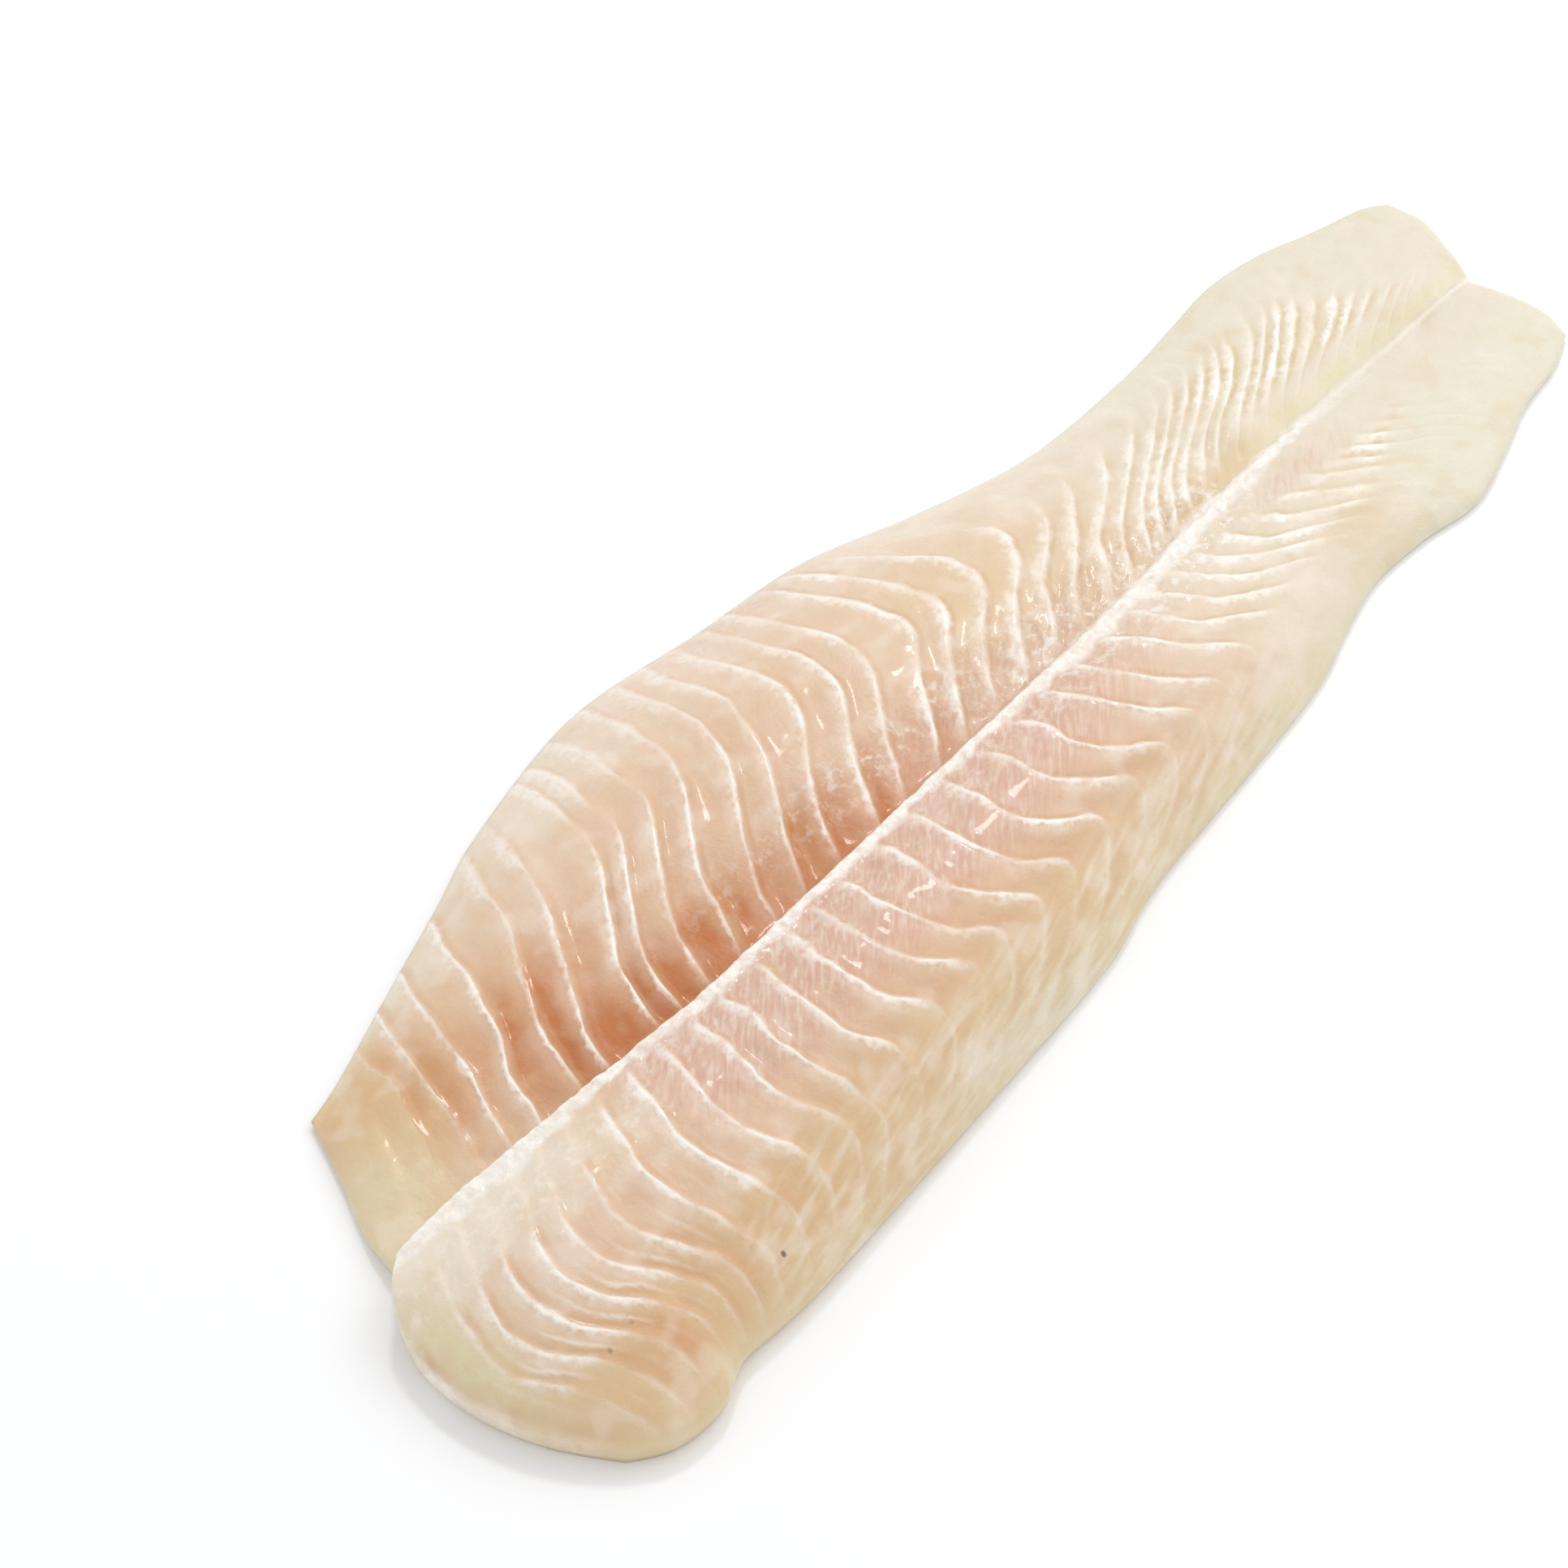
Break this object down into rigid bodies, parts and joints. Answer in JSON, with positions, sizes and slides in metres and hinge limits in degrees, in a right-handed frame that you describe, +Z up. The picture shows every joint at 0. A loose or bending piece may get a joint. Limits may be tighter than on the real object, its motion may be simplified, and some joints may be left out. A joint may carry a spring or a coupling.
{
  "type": "hake fillet",
  "caption": "Raw skinless hake fillet lying flat, with a thick back half, a thin belly half, a ridge left by the backbone and slanted muscle flakes down to a thin tail.",
  "frame": {"origin": "on the surface the fillet lies on, under the middle of its outline", "axes": "+X from the head end to the tail, +Y towards the thin belly edge, +Z up, away from the surface it lies on"},
  "size_m": [0.302, 0.111, 0.023],
  "materials": {
    "flesh": "moist raw white fish flesh, cream with peach and orange between pale muscle walls"
  },
  "bodies": {
    "root": {"fillet": "flesh"}
  },
  "joints": []
}
